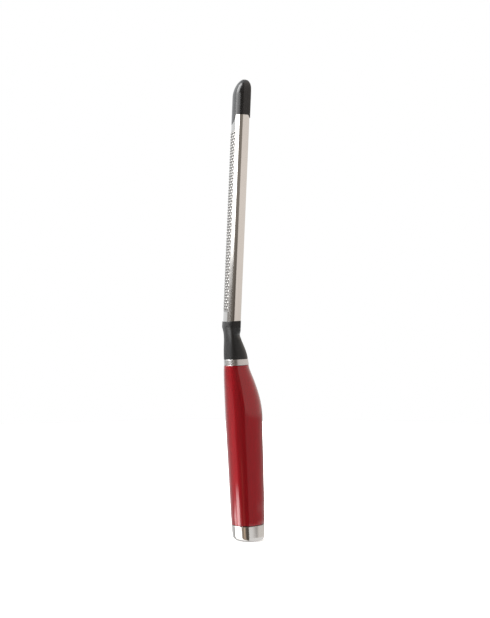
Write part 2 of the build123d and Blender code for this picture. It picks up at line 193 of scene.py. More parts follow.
# %% Paint the room
ROOM_DARK = "#645d56"
PATCHES = [
    # azimuths, elevations, softness of both, colour, strength
    ((0, 152), (-2, 95), (2, 1.5), "#fff7f1", 0.80),  # the pale wall on the right, above the table
    ((-3, 152), (-14.2, -2), (2, 1.5), "#f6f3f2", 0.32),  # and below it
    ((-6, 152), (-95, -14.2), (2, 1), "#f1f3f4", 1.00),  # the white floor on the right
    ((66, 152), (-14.2, -10), (14, 1), "#f4f2ee", 0.5),  # its far part, which reaches higher
    ((-54, 0), (4, 95), (2, 2), "#fff3e6", 0.15),  # light that spills into the dark, above the table
    ((152, 190), (-95, 95), (4, 4), "#f0f2f4", 0.50),  # the far wall, right of the tool's back
    ((-190, -140), (-95, 95), (4, 4), "#e9eef2", 0.85),  # the far wall, left of the tool's back
    ((-140, -122), (-95, -13.6), (1, 1), "#e9eef2", 0.60),  # the grey end of the sill
    ((-140, -70), (-4.5, 5.5), (3, 1), "#f4f5f6", 0.22),  # the grey wall under the softbox
    ((-140, -70), (-14, -4.5), (3, 1), "#f4f5f6", 0.44),  # its lower half
    ((-70, -27), (-14, 4), (3, 1), "#f2efec", 0.06),  # the grey wall's shaded corner
    ((-61, -29), (-95, -14), (1, 1), "#f3dcc4", 0.30),  # the tan skirting
    ((-122, -61), (-95, -13.6), (1, 1), "#ffffff", 1.50),  # the white sill
    ((-139, -53), (5.8, 20.5), (1.5, 1.2), "#ffffff", 3.80),  # the softbox's lower part
    ((-138, -85), (20.5, 68), (3, 3), "#ffffff", 8.00),  # its hot upper part
    ((-93, -71), (-40, -12.6), (1.5, 0.8), "#ffffff", 7.00),  # the first window
    ((-118, -99), (-40, -13.2), (1.5, 0.8), "#ffffff", 4.00),  # the second window
    ((-43, -37), (-40, -9), (1, 1), "#ffd9b4", 0.45),  # a lit edge in the dark
]

light = add(room, "VectorMath", {"operation": "SCALE", 0: linear(ROOM_DARK)[:3], "Scale": 1.0}).outputs[0]
for azimuths, elevations, softness, colour, strength in PATCHES:
    mask = patch(azimuths, elevations, softness)
    glow = tuple(strength * part for part in linear(colour)[:3])
    lit = add(room, "VectorMath", {"operation": "SCALE", 0: glow}, {"Scale": mask}).outputs[0]
    light = add(room, "VectorMath", {"operation": "ADD"}, {0: light, 1: lit}).outputs[0]

rays = add(room, "LightPath")
overhead = add(room, "Background", {"Color": (1.0, 1.0, 1.0, 1.0), "Strength": 1.9})
painted = add(room, "Background", {"Strength": 1.0}, {"Color": light})
unlit = add(room, "Background", {"Strength": 0.0})
above = edge(elevation, 60, 6.0, True)
lamp = add(room, "MixShader", {}, {0: above, 1: unlit.outputs[0], 2: overhead.outputs[0]})
soft = add(room, "AddShader", {}, {0: lamp.outputs[0], 1: painted.outputs[0]})
glossy = rays.outputs["Is Glossy Ray"]
around = add(room, "MixShader", {}, {0: glossy, 1: soft.outputs[0], 2: painted.outputs[0]})
plain = add(room, "Background", {"Color": (1.0, 1.0, 1.0, 1.0), "Strength": 1.0})
seen = rays.outputs["Is Camera Ray"]
shown = add(room, "MixShader", {}, {0: seen, 1: around.outputs[0], 2: plain.outputs[0]})
add(room, "OutputWorld", {}, {"Surface": shown.outputs[0]})
bpy.context.scene.view_settings.view_transform = "Standard"
print("patches of light:", len(PATCHES))

# %% [markdown]
# ## The floor
#
# The tool stands on a plain white board. The board is left out of glossy reflections, so that the
# metal shows the room, as it would on a stand. It also glows faintly, as a board lit from below does,
# which washes the tool's shadow out.

# %% Lay the floor
FLOOR_RADIUS = 900.0
FLOOR_DROP = 0.1


def disc(radius, height, rings, spokes):
    """Points of a flat disc: radius r * t, turned by a, for t from 0 to 1 and a round the circle."""
    outwards, round_about = np.linspace(0, 1, rings), np.linspace(0, 2 * np.pi, spokes, endpoint=False)
    t, a = np.meshgrid(outwards, round_about, indexing="ij")
    return np.stack([radius * t * np.cos(a), radius * t * np.sin(a), np.full_like(t, height)], axis=-1)


def grid_quads(rows, columns, rows_wrap=False, columns_wrap=False):
    """The quads of a grid whose points are numbered row by row.

    Each quad joins a point, the next in its row, the one above that, and the one above the first. A
    direction that wraps joins its last line to its first.
    """
    row = np.arange(rows if rows_wrap else rows - 1)
    column = np.arange(columns if columns_wrap else columns - 1)
    r, c = np.meshgrid(row, column, indexing="ij")
    above, beside = (r + 1) % rows, (c + 1) % columns
    corners = [r * columns + c, r * columns + beside, above * columns + beside, above * columns + c]
    return np.stack(corners, axis=-1).reshape(-1, 4)


def signed_volume(points, quads):
    """Six times a closed surface's volume, positive when its faces point outwards."""
    a, b, c, d = (points[quads[:, i]] for i in range(4))
    first = np.einsum("ij,ij->i", a, np.cross(b, c))
    second = np.einsum("ij,ij->i", a, np.cross(c, d))
    return float((first + second).sum())


def surface(name, points, quads, crease=35.0, etched=None):
    """Make an object from points in millimetres and quads, faces outwards, poles and seams closed.

    A value for each point may be kept with it, as the attribute "etched".
    """
    points = np.asarray(points, float).reshape(-1, 3)
    if signed_volume(points, quads) < 0:
        quads = quads[:, ::-1]
    mesh = bpy.data.meshes.new(name)
    mesh.from_pydata((points * MM).tolist(), [], quads.tolist())
    if etched is not None:
        mesh.attributes.new("etched", "FLOAT", "POINT").data.foreach_set("value", etched)
    shape = bmesh.new()
    shape.from_mesh(mesh)
    bmesh.ops.remove_doubles(shape, verts=shape.verts, dist=1e-4 * MM)
    bmesh.ops.dissolve_degenerate(shape, edges=shape.edges, dist=1e-5 * MM)
    shape.to_mesh(mesh)
    shape.free()
    mesh.shade_smooth()
    mesh.set_sharp_from_angle(angle=math.radians(crease))
    made = bpy.data.objects.new(name, mesh)
    bpy.context.scene.collection.objects.link(made)
    return made


floor = surface("floor", disc(FLOOR_RADIUS, -FLOOR_DROP, 3, 96), grid_quads(3, 96, columns_wrap=True))
floor.visible_glossy = False

white_board, tree = new_material("white painted board")
place = add(tree, "TexCoord").outputs["Object"]
grain = add(tree, "TexNoise", {"Scale": per_mm(6.0), "Detail": 3.0}, {0: place})
rough = add(tree, "MapRange", {"To Min": 0.75, "To Max": 0.9}, {"Value": grain.outputs[0]})
matte = add(
    tree,
    "BsdfPrincipled",
    {"Base Color": linear("#fdfdfc"), "Emission Color": linear("#ffffff"), "Emission Strength": 0.35},
    {"Roughness": rough.outputs["Result"]},
)
add(tree, "OutputMaterial", {}, {"Surface": matte.outputs[0]})
floor.data.materials.append(white_board)

# %% [markdown]
# ## From a surface to a finished piece
#
# Each new piece stands for one CAD part, which is then hidden. It is given its own material, and
# rides on the tool's one body.

# %% A helper that finishes a piece
def finish(piece, node, material):
    """Give a piece its material and its place in the tool, and print how it fits its CAD part."""
    piece.data.materials.append(material)
    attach(piece, "root")
    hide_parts(node)
    spots = np.array([v.co for v in piece.data.vertices])
    low, high = (np.array(corner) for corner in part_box(node))
    grown = np.maximum(low - spots.min(0), spots.max(0) - high) / MM
    faces = sum(len(p.vertices) - 2 for p in piece.data.polygons)
    print(f"{piece.name}: {faces} triangles, past its CAD box by {grown.round(2).tolist()} mm")


# %% [markdown]
# ## Two leaning frames
#
# The handle leans forward by two degrees from the flat end that the tool stands on, and the blade leans
# back from the handle by five, to make room for knuckles. Everything is easiest to draw upright and
# then to lean. In the handle's frame z is the handle's axis. In the blade's frame z runs up the blade
# from the collar, y from the crest of the grating face to the channel's open back, and x across.
#
# A channel like this is folded from flat sheet, so its section is a line of constant length bent round
# arcs. That is also the best way to draw it: every point of the sheet is given by its distance along
# the section from the crest, and a hole that is round on the flat sheet stays true on the bend.

# %% Leaning
HANDLE_LEAN = math.radians(2.34)
BLADE_LEAN = math.radians(4.8)
BLADE_FOOT = np.array([0.0, -11.54, 155.95])  # the crest where it leaves the collar


def leaned(points, angle):
    """Points turned about the x axis: y' = y cos a - z sin a, z' = y sin a + z cos a."""
    x, y, z = points[..., 0], points[..., 1], points[..., 2]
    turned_y = y * np.cos(angle) - z * np.sin(angle)
    turned_z = y * np.sin(angle) + z * np.cos(angle)
    return np.stack([x, turned_y, turned_z], axis=-1)


def from_blade(x, y, z):
    """Points of the blade's frame, moved to their place in the tool."""
    upright_points = np.stack(np.broadcast_arrays(x, y, z), axis=-1)
    return leaned(leaned(upright_points, -BLADE_LEAN) + BLADE_FOOT, HANDLE_LEAN)


# %% The blade's section as a bent line
BLADE_LENGTH = 144.6
BLADE_BURIED = 5.4
FACE_HALF_WIDTH = 9.0
FACE_CROWN = 1.2
CORNER_RADIUS = 5.0
CHANNEL_DEPTH = 10.3

crown_radius = (FACE_HALF_WIDTH**2 + FACE_CROWN**2) / (2 * FACE_CROWN)
crown_angle = math.asin(FACE_HALF_WIDTH / crown_radius)
corner_x = (crown_radius - CORNER_RADIUS) * math.sin(crown_angle)
corner_y = crown_radius - (crown_radius - CORNER_RADIUS) * math.cos(crown_angle)
crown_end = crown_radius * crown_angle
corner_end = crown_end + CORNER_RADIUS * (math.pi / 2 - crown_angle)
wall_end = corner_end + CHANNEL_DEPTH - corner_y


def section(along):
    """The channel's outer line at a distance along it from the crest, and the way it faces.

    First an arc of the crown's radius, then one of the corner's, then a straight wall. The facing is
    the angle from straight out of the face, so a point's outward normal is (sin a, -cos a).
    """
    side, s = np.sign(along), np.abs(along)
    on_crown = np.minimum(s, crown_end) / crown_radius
    on_corner = np.clip(s - crown_end, 0, corner_end - crown_end) / CORNER_RADIUS
    angle = on_crown + on_corner
    x = np.where(s <= crown_end, crown_radius * np.sin(on_crown), corner_x + CORNER_RADIUS * np.sin(angle))
    y = np.where(
        s <= crown_end, crown_radius * (1 - np.cos(on_crown)), corner_y - CORNER_RADIUS * np.cos(angle)
    )
    y = y + np.maximum(s - corner_end, 0)
    return side * x, y, side * angle


print("the flat sheet is", round(2 * wall_end, 1), "mm wide before bending")

# %% [markdown]
# ## The teeth
#
# Acid eats the openings from one side of the sheet, which leaves an edge as thin as foil, and a press
# then lifts each edge a fraction of a millimetre. So a tooth is a small hood: open towards the
# handle, highest at its cutting edge, fading into the sheet behind it.
#
# The teeth stand in columns, and every other column is shifted by half a pitch. The sheet is one grid
# whose lines are spaced so that a few cells make one tooth. The cells of each opening are left out, the
# lines round it are bent into a half-moon, and the height comes from one formula for all teeth at once.

# %% The sheet's grid
SHEET = 0.6
EDGE_THICKNESS = 0.12
TOOTH_PITCH = 4.0
COLUMN_STEP = 2.1
COLUMNS = 9
FIRST_TOOTH = 7.9  # above the collar
LAST_TOOTH = 131.9
OPENING_HALF_WIDTH = 0.92
OPENING_HALF_LENGTH = 0.6
TOOTH_RISE = 0.42
HOOD_LENGTH = 1.25  # how far behind the cutting edge the hood fades out
HOOD_MARGIN = 0.06  # how much wider than its opening a hood is, on each side
HOOD_POWER = 1.5  # how steeply the hood falls away behind the edge
THINNED_LENGTH = 0.8  # the eaten-away stretch behind the edge
HALF_MOON = 0.28  # how far the middle of an opening's edges bows up the blade
HALF_MOON_REACH = 1.5
CELLS_OF_AN_OPENING = 12
ZONE_SIDE = 1.2  # how far the etched zone reaches past the teeth, to the sides
ZONE_END = 2.0  # and at both ends
ZONE_SOFTNESS = 0.4
TONGUE_DEPTH = 5.6
WALL_END_RADIUS = 1.8

cell_lines = np.array([-1.05, -OPENING_HALF_WIDTH, -0.5, 0.0, 0.5, OPENING_HALF_WIDTH])
columns = (np.arange(COLUMNS) - COLUMNS // 2) * COLUMN_STEP
toothed = (columns[:, None] + cell_lines[None, :]).ravel()
toothed_end = COLUMNS * COLUMN_STEP / 2
bend = np.linspace(toothed_end, corner_end, 10)
wall = np.linspace(corner_end, wall_end, 9)[1:]
right_half = np.concatenate([bend, wall])
across = np.concatenate([-right_half[::-1], toothed[1:], right_half])

STEP = 0.4  # between grid lines along the teeth, so that ten lines make one pitch
zone = np.arange(FIRST_TOOTH - 2.2, LAST_TOOTH + 2.4, STEP)
below = np.linspace(-BLADE_BURIED, zone[0], 8)[:-1]
above_share = np.linspace(0, 1, 10)[1:]
print("grid lines:", len(across), "across,", len(below) + len(zone) + len(above_share), "along")


# %% Heights, openings and the sheet's end
def sheet_end(along):
    """How far up the sheet reaches: an arc is cut from the face's end, and the walls' ends are round.

    Over the face the end is an arc through both edges of the face, TONGUE_DEPTH lower in the middle. In
    the last few millimetres of a wall it is a quarter circle.
    """
    x = np.clip(section(along)[0], -FACE_HALF_WIDTH, FACE_HALF_WIDTH)
    arc = (FACE_HALF_WIDTH**2 + TONGUE_DEPTH**2) / (2 * TONGUE_DEPTH)
    dip = np.sqrt(arc**2 - x**2) - (arc - TONGUE_DEPTH)
    into_round = np.clip(np.abs(along) - (wall_end - WALL_END_RADIUS), 0, WALL_END_RADIUS)
    drop = WALL_END_RADIUS - np.sqrt(np.maximum(WALL_END_RADIUS**2 - into_round**2, 0))
    return BLADE_LENGTH - dip - drop


def tooth_place(along, z):
    """Each point's place in its own tooth: distance from the tooth's middle, and whether one is there."""
    column = np.round(along / COLUMN_STEP)
    sideways = along - column * COLUMN_STEP
    odd = np.mod(column, 2)
    row = np.round((z - FIRST_TOOTH) / TOOTH_PITCH - odd / 2)
    lengthways = z - FIRST_TOOTH - (row + odd / 2) * TOOTH_PITCH
    rows = round((LAST_TOOTH - FIRST_TOOTH) / TOOTH_PITCH)
    present = (np.abs(column) <= COLUMNS // 2) & (row >= 0) & (row <= rows - odd)
    return sideways, lengthways, present


def hood(sideways, lengthways):
    """A tooth's height: TOOTH_RISE at the edge's middle, falling as 1 - t**2 to both sides and behind."""
    wide = np.clip(1 - (sideways / (OPENING_HALF_WIDTH + HOOD_MARGIN)) ** 2, 0, 1)
    behind = np.clip((lengthways - OPENING_HALF_LENGTH) / HOOD_LENGTH, 0, 1)
    height = TOOTH_RISE * wide * (1 - behind) ** HOOD_POWER
    return np.where(lengthways > OPENING_HALF_LENGTH - 0.01, height, 0.0)


s = np.broadcast_to(across, (len(below) + len(zone) + len(above_share), len(across)))
top = sheet_end(across)
fixed = np.broadcast_to(np.concatenate([below, zone])[:, None], (len(below) + len(zone), len(across)))
rising = zone[-1] + (top - zone[-1]) * above_share[:, None]
z = np.vstack([fixed, rising])

sideways, lengthways, present = tooth_place(s, z)
lift = np.where(present, hood(sideways, lengthways), 0.0)
middle = np.clip(1 - (sideways / OPENING_HALF_WIDTH) ** 2, 0, 1)
near = np.clip(1 - np.abs(lengthways - 0.5 * OPENING_HALF_LENGTH) / HALF_MOON_REACH, 0, 1)
z = z + np.where(present, HALF_MOON * middle * near, 0.0)
behind_edge = lengthways - OPENING_HALF_LENGTH
thin = np.where(lift > 0, np.clip(1 - behind_edge / THINNED_LENGTH, 0, 1), 0.0)
thickness = SHEET - (SHEET - EDGE_THICKNESS) * thin

# %% Make the blade
x, y, facing = section(s)
out_x, out_y = np.sin(facing), -np.cos(facing)
outer = from_blade(x + lift * out_x, y + lift * out_y, z)
inner_lift = lift - thickness
inner = from_blade(x + inner_lift * out_x, y + inner_lift * out_y, z)

quads = grid_quads(*s.shape)
quad_middle_s = s.ravel()[quads].mean(1)
quad_middle_z = np.broadcast_to(np.vstack([fixed, rising]), s.shape).ravel()[quads].mean(1)
from_middle, from_opening, has_tooth = tooth_place(quad_middle_s, quad_middle_z)
open_cell = has_tooth & (np.abs(from_middle) < OPENING_HALF_WIDTH)
open_cell &= np.abs(from_opening) < OPENING_HALF_LENGTH
skin = quads[~open_cell]


def two_skins(outer, inner, skin):
    """Close a sheet: its outer skin, its inner skin turned over, and a strip along every free edge.

    A free edge is a side of a quad that no other quad runs along the other way. The points that are
    used, out of both skins, are given too.
    """
    count = outer.reshape(-1, 3).shape[0]
    starts, ends = skin.ravel(), np.roll(skin, -1, axis=1).ravel()
    forward, backward = starts * count + ends, ends * count + starts
    free = ~np.isin(forward, backward)
    a, b = starts[free], ends[free]
    strips = np.stack([b, a, a + count, b + count], axis=-1)
    faces = np.concatenate([skin, skin[:, ::-1] + count, strips])
    points = np.concatenate([outer.reshape(-1, 3), inner.reshape(-1, 3)])
    used, faces = np.unique(faces, return_inverse=True)
    return points[used], faces.reshape(-1, 4), used


blade_points, blade_faces, used = two_skins(outer, inner, skin)
# The acid works on a zone a little larger than the teeth, and its edge is soft.
inside_width = np.clip((toothed_end + ZONE_SIDE - np.abs(s)) / ZONE_SOFTNESS, 0, 1)
inside_low = np.clip((z - FIRST_TOOTH + ZONE_END) / ZONE_SOFTNESS, 0, 1)
inside_high = np.clip((LAST_TOOTH + ZONE_END - z) / ZONE_SOFTNESS, 0, 1)
etched = np.tile((inside_width * inside_low * inside_high).ravel(), 2)[used]
blade = surface("blade", blade_points, blade_faces, crease=40.0, etched=etched)
print("teeth:", int(open_cell.sum() / CELLS_OF_AN_OPENING))

# %% [markdown]
# ## Stainless steel sheet
#
# The sheet is austenitic stainless, cold rolled between polished rolls and then brushed lightly along
# its length. The rolls leave it bright enough to mirror the room, and the brushing drags
# every reflection out lengthways, so the eye sees long clean stripes with a fine grain in them. Where
# the acid has worked, among the teeth, the steel is greyer and duller.
#
# Real brush lines are a few hundredths of a millimetre wide, which no render at this size can show.
# They are drawn ten times coarser here, and only just strong enough to break up the reflection.

# %% The blade's steel
ETCHED_ROUGHNESS = 0.3
CLOUD_DEPTH = 0.07  # how much darker the sheet's cloudy places are


def steel(name, colour, roughness, line_width, line_length, depth, along=(0, 0, 1), etched=0.0, uneven=0.2):
    """Steel with fine lines: a noise that is stretched along one axis varies roughness and height.

    Where the attribute "etched" is 1, the steel is darker by the share given, and duller.
    """
    material, tree = new_material(name)
    place = add(tree, "TexCoord").outputs["Object"]
    stretch = tuple(line_width / line_length if part else 1.0 for part in along)
    run = add(tree, "Mapping", {"Scale": stretch}, {"Vector": place})
    lines = add(
        tree,
        "TexNoise",
        {"Scale": per_mm(line_width * 2), "Detail": 4.0, "Roughness": 0.6},
        {"Vector": run.outputs[0]},
    )
    cloudy = add(tree, "TexNoise", {"Scale": per_mm(18.0), "Detail": 2.0}, {"Vector": place})
    fine = add(
        tree,
        "MapRange",
        {
            "From Min": 0.3,
            "From Max": 0.7,
            "To Min": roughness * (1 - uneven),
            "To Max": roughness * (1 + uneven),
        },
        {"Value": lines.outputs[0]},
    )
    shade = add(
        tree,
        "Mix",
        {"data_type": "RGBA", 6: linear(colour), 7: darker(colour, CLOUD_DEPTH)},
        {0: cloudy.outputs[0]},
    )
    tone, spread = shade.outputs[2], fine.outputs["Result"]
    if etched:
        mark = add(tree, "Attribute", {"attribute_name": "etched"}).outputs["Fac"]
        dull = {"data_type": "RGBA", 7: darker(colour, etched)}
        tone = add(tree, "Mix", dull, {0: mark, 6: tone}).outputs[2]
        frosted = {"data_type": "FLOAT", 3: ETCHED_ROUGHNESS}
        spread = add(tree, "Mix", frosted, {0: mark, 2: spread}).outputs[0]
    grooves = add(
        tree, "Bump", {"Strength": 0.25, "Distance": depth * MM}, {"Height": lines.outputs[0]}
    )
    metal = add(
        tree,
        "BsdfPrincipled",
        {"Metallic": 1.0},
        {
            "Base Color": tone,
            "Roughness": spread,
            "Normal": grooves.outputs[0],
        },
    )
    add(tree, "OutputMaterial", {}, {"Surface": metal.outputs[0]})
    return material


blade_steel = steel("rolled and brushed stainless sheet", "#dad8d5", 0.11, 0.35, 60.0, 0.008, etched=0.5)
finish(blade, "grater_blade", blade_steel)

# %% [markdown]
# ## The soft tip
#
# The blade ends in a moulded tip of soft black elastomer, so that it can be stood on its end without
# slipping and nobody is pricked by the corners. It carries on the blade's outline, and a
# tongue of it is laid into the arc cut from the face.
#
# It is the blade's own section, closed across the back and drawn up into a nose. The section
# shrinks in width by one curve, its front moves back by a second, and its back comes forward by a
# third, until all three meet at the apex. Rows are crowded towards the apex, where it curves most.

# %% Make the soft tip
TIP_LENGTH = 26.6
TIP_PROUD = 0.1
TIP_BACK_PROUD = 0.58
TIP_BACK_RADIUS = 1.3
TIP_APEX_DEPTH = 6.9
TIP_FRONT_CURVE = 11.8
TIP_BACK_CURVE = 7.5
TIP_SIDE_CURVE = 13.0
TIP_FRONT_POWER = 1.75
TIP_SIDE_POWER = 2.2
TIP_HOLLOW = 1.2  # how far the tip's underside lies above the sheet's end
SEAM = 0.1


def closed_section(turns):
    """The channel's section closed across its back, by its share of the way round from the crest.

    Up one side it is the blade's own line, then a small round corner, then half of the straight back,
    and the other half is the same again on the other side.
    """
    side = np.where(turns < 0.5, 1.0, -1.0)
    wall_length = wall_end + TIP_BACK_PROUD - TIP_BACK_RADIUS
    round_length = TIP_BACK_RADIUS * math.pi / 2
    flat_length = corner_x + CORNER_RADIUS - TIP_BACK_RADIUS
    way = np.minimum(turns, 1 - turns) * 2 * (wall_length + round_length + flat_length)
    x, y, angle = section(np.minimum(way, wall_length))
    bent = np.clip(way - wall_length, 0, round_length) / TIP_BACK_RADIUS
    x = x - TIP_BACK_RADIUS * (1 - np.cos(bent)) - np.maximum(way - wall_length - round_length, 0)
    y = y + TIP_BACK_RADIUS * np.sin(bent)
    angle = angle + bent
    return side * (x + TIP_PROUD * np.sin(angle)), y - TIP_PROUD * np.cos(angle), side * way


def fall(z, start, end, power=2.0):
    """1 up to start, then down to 0 at end, along a superellipse of the given power."""
    t = np.clip((z - start) / (end - start), 0, 1)
    return (1 - t**power) ** (1 / power)


tip_end = BLADE_LENGTH + TIP_LENGTH
turns = np.linspace(0, 1, 160, endpoint=False)
ring_x, ring_y, ring_s = closed_section(turns)
base_z = np.where(np.abs(ring_s) <= wall_end, sheet_end(np.clip(ring_s, -wall_end, wall_end)), 0.0)
base_z = np.where(np.abs(ring_s) > wall_end - 0.6, BLADE_LENGTH - WALL_END_RADIUS, base_z) + SEAM
shoulder = tip_end - TIP_SIDE_CURVE
straight = np.linspace(0, 1, 16)[:-1]
nose = shoulder + TIP_SIDE_CURVE * np.sin(np.linspace(0, np.pi / 2, 40))
lower_z = base_z + (shoulder - base_z) * straight[:, None]
tip_z = np.vstack([lower_z, np.repeat(nose[:, None], len(turns), 1)])

depth_low, depth_high = ring_y.min(), ring_y.max()
front_fall = fall(tip_z, tip_end - TIP_FRONT_CURVE, tip_end, TIP_FRONT_POWER)
back_fall = fall(tip_z, tip_end - TIP_BACK_CURVE, tip_end)
front = TIP_APEX_DEPTH + (depth_low - TIP_APEX_DEPTH) * front_fall
back = TIP_APEX_DEPTH + (depth_high - TIP_APEX_DEPTH) * back_fall
width = fall(tip_z, shoulder, tip_end, TIP_SIDE_POWER)
share = (ring_y - depth_low) / (depth_high - depth_low)
tip_points = from_blade(ring_x * width, front + (back - front) * share, tip_z)

# The underside goes in a little way from the rim, up to a flat floor, and so to a middle point.
hollow = np.linspace(1, 0, 6)[1:, None]
floor_z = np.full(len(turns), BLADE_LENGTH + TIP_HOLLOW)
under = from_blade(
    ring_x * (0.93 * hollow),
    CHANNEL_DEPTH / 2 + (ring_y - CHANNEL_DEPTH / 2) * (0.86 * hollow),
    base_z + (floor_z - base_z) * np.minimum(1, 4 * (1 - hollow)),
)
tip_grid = np.vstack([under[::-1], tip_points])
tip = surface("soft_tip_moulding", tip_grid, grid_quads(len(tip_grid), len(turns), columns_wrap=True))

# %% [markdown]
# ## Moulded plastics
#
# Three blacks are used. The tip is an elastomer with a slight shine from the polished steel of its
# mould. The neck is a stiff nylon from a mould with a fine spark-eroded texture, which turns highlights
# into soft glows. The insert inside the tip is plain polypropylene, which nobody was meant to see.

# %% A helper for moulded plastic, and the tip's elastomer
def moulded(name, colour, roughness, texture, depth, flow=0.1, shine=0.5):
    """Moulded plastic: an even colour that drifts a little, and a fine pebbled skin."""
    material, tree = new_material(name)
    place = add(tree, "TexCoord").outputs["Object"]
    pebble = add(tree, "TexNoise", {"Scale": per_mm(texture), "Detail": 3.0}, {"Vector": place})
    drift = add(tree, "TexNoise", {"Scale": per_mm(25.0), "Detail": 2.0}, {"Vector": place})
    tones = {"data_type": "RGBA", 6: linear(colour), 7: darker(colour, flow)}
    shade = add(tree, "Mix", tones, {0: drift.outputs[0]})
    spread = add(
        tree,
        "MapRange",
        {"To Min": roughness * 0.85, "To Max": roughness * 1.15},
        {"Value": drift.outputs[0]},
    )
    skin_bump = add(tree, "Bump", {"Strength": 0.3, "Distance": depth * MM}, {"Height": pebble.outputs[0]})
    plastic = add(
        tree,
        "BsdfPrincipled",
        {"IOR": 1.5, "Specular IOR Level": shine},
        {
            "Base Color": shade.outputs[2],
            "Roughness": spread.outputs["Result"],
            "Normal": skin_bump.outputs[0],
        },
    )
    add(tree, "OutputMaterial", {}, {"Surface": plastic.outputs[0]})
    return material


elastomer = moulded("moulded thermoplastic elastomer", "#121213", 0.25, 0.5, 0.006)
finish(tip, "soft_tip", elastomer)

# %% [markdown]
# ## The neck
#
# The neck has to turn an oval handle into a wide flat channel within thirty millimetres. Its sections
# are superellipses: power 2 is an ellipse, and a higher power squares it up. The front and the back of a
# section have their own depth and power, so the collar can be gently crowned in front and square
# behind. Five sections are listed, the collar's two follow from the blade's foot, and a smooth
# cubic runs through all their values at once, up to the collar. The collar itself is drawn straight.

# %% Make the neck
COLLAR_MIDDLE = 6.5
COLLAR_HEIGHT = 4.6
COLLAR_SLANT = 6.3
COLLAR_EDGE = 0.35
COLLAR_WALL = 0.49  # outside the blade
COLLAR_HALF_WIDTH = 13.18


def collar_station(height, slant):
    """The collar's section at a height in the blade's frame, in the handle's terms."""
    lean = math.degrees(BLADE_LEAN)
    back, up = COLLAR_MIDDLE * math.cos(BLADE_LEAN), -COLLAR_MIDDLE * math.sin(BLADE_LEAN)
    y = BLADE_FOOT[1] + back + height * math.sin(BLADE_LEAN)
    z = BLADE_FOOT[2] + up + height * math.cos(BLADE_LEAN)
    front, behind = COLLAR_MIDDLE + COLLAR_WALL, CHANNEL_DEPTH + COLLAR_WALL - COLLAR_MIDDLE
    return [z, lean - slant, y, front, behind, COLLAR_HALF_WIDTH, 2.6, 10.0]


NECK_STATIONS = np.array(
    [
        # height, lean, middle y, front depth, back depth, half width, front power, back power
        [128.62, 0.0, -3.95, 8.45, 8.45, 10.25, 2.0, 2.0],
        [133.0, 0.4, -4.2, 8.15, 7.85, 10.2, 2.0, 2.0],
        [137.5, 1.2, -4.8, 7.3, 6.95, 10.2, 2.0, 2.0],
        [142.0, 2.4, -5.4, 6.35, 5.85, 10.5, 2.05, 2.1],
        [146.5, 3.8, -5.85, 5.9, 5.2, 11.4, 2.2, 2.3],
        collar_station(-COLLAR_HEIGHT, 0.0),
        collar_station(0.0, COLLAR_SLANT),
    ]
)


def through(stations, t):
    """A smooth cubic through rows of values: each stretch leaves and arrives parallel to the line
    between the neighbours on either side. t counts rows."""
    i = np.clip(np.floor(t).astype(int), 0, len(stations) - 2)
    u = (t - i)[:, None]
    before, after = stations[np.maximum(i - 1, 0)], stations[np.minimum(i + 2, len(stations) - 1)]
    here, there = stations[i], stations[i + 1]
    leave, arrive = (there - before) / 2, (after - here) / 2
    cubic = (2 * u**3 - 3 * u**2 + 1) * here + (u**3 - 2 * u**2 + u) * leave
    return cubic + (3 * u**2 - 2 * u**3) * there + (u**3 - u**2) * arrive


def boxed_oval(angle, front, back, half_width, front_power, back_power):
    """A ring whose front and back halves are superellipses: r = (|cos|**p + |sin|**p) ** (-1 / p)."""
    across, along = np.cos(angle), np.sin(angle)
    power = np.where(along < 0, front_power, back_power)
    depth = np.where(along < 0, front, back)
    reach = (np.abs(across) ** power + np.abs(along) ** power) ** (-1 / power)
    return half_width * reach * across, depth * reach * along


stretches = np.linspace(0, 5, 46)
rows = through(NECK_STATIONS[:6], np.minimum(stretches, 5 - 1e-9))
collar_rows = np.linspace(NECK_STATIONS[5], NECK_STATIONS[6], 5)[1:]
rows = np.vstack([rows, collar_rows])
height, lean, middle_y, front_d, back_d, half_w, front_p, back_p = (rows[:, i : i + 1] for i in range(8))

angles = np.linspace(0, 2 * np.pi, 128, endpoint=False) + np.pi / 128
ring_x, ring_y = boxed_oval(angles[None, :], front_d, back_d, half_w, front_p, back_p)
tilt = np.radians(lean)
neck_points = np.stack(
    [ring_x, middle_y + ring_y * np.cos(tilt), height - ring_y * np.sin(tilt)], axis=-1
)
neck_points = leaned(neck_points, HANDLE_LEAN)


def closing_rings(ring, centre, rise, edge):
    """Rings that close a section: a small round edge, then flat in to the centre."""
    bend = np.linspace(0, np.pi / 2, 6)[1:]
    reach = np.linalg.norm(ring - centre, axis=-1, keepdims=True)
    way = (ring - centre) / reach
    rounded = [centre + way * (reach - edge * (1 - np.cos(b))) + rise * edge * np.sin(b) for b in bend]
    flat = [centre + way * (reach - edge) * f + rise * edge for f in (0.8, 0.4, 0.0)]
    return np.stack(rounded + flat)


up_the_blade = from_blade(0, 0, 1) - from_blade(0, 0, 0)
top_ring = neck_points[-1] - up_the_blade * COLLAR_EDGE
neck_points[-1] = top_ring
collar_top = closing_rings(top_ring, top_ring.mean(0), up_the_blade, COLLAR_EDGE)
neck_foot = closing_rings(neck_points[0], neck_points[0].mean(0), np.array([0.0, 0.0, -1.0]), 0.1)
neck_grid = np.vstack([neck_foot[::-1], neck_points, collar_top])
neck = surface("neck_moulding", neck_grid, grid_quads(len(neck_grid), len(angles), columns_wrap=True))
neck_nylon = moulded("spark-textured moulded nylon", "#131314", 0.42, 0.35, 0.02, shine=0.38)
finish(neck, "neck", neck_nylon)

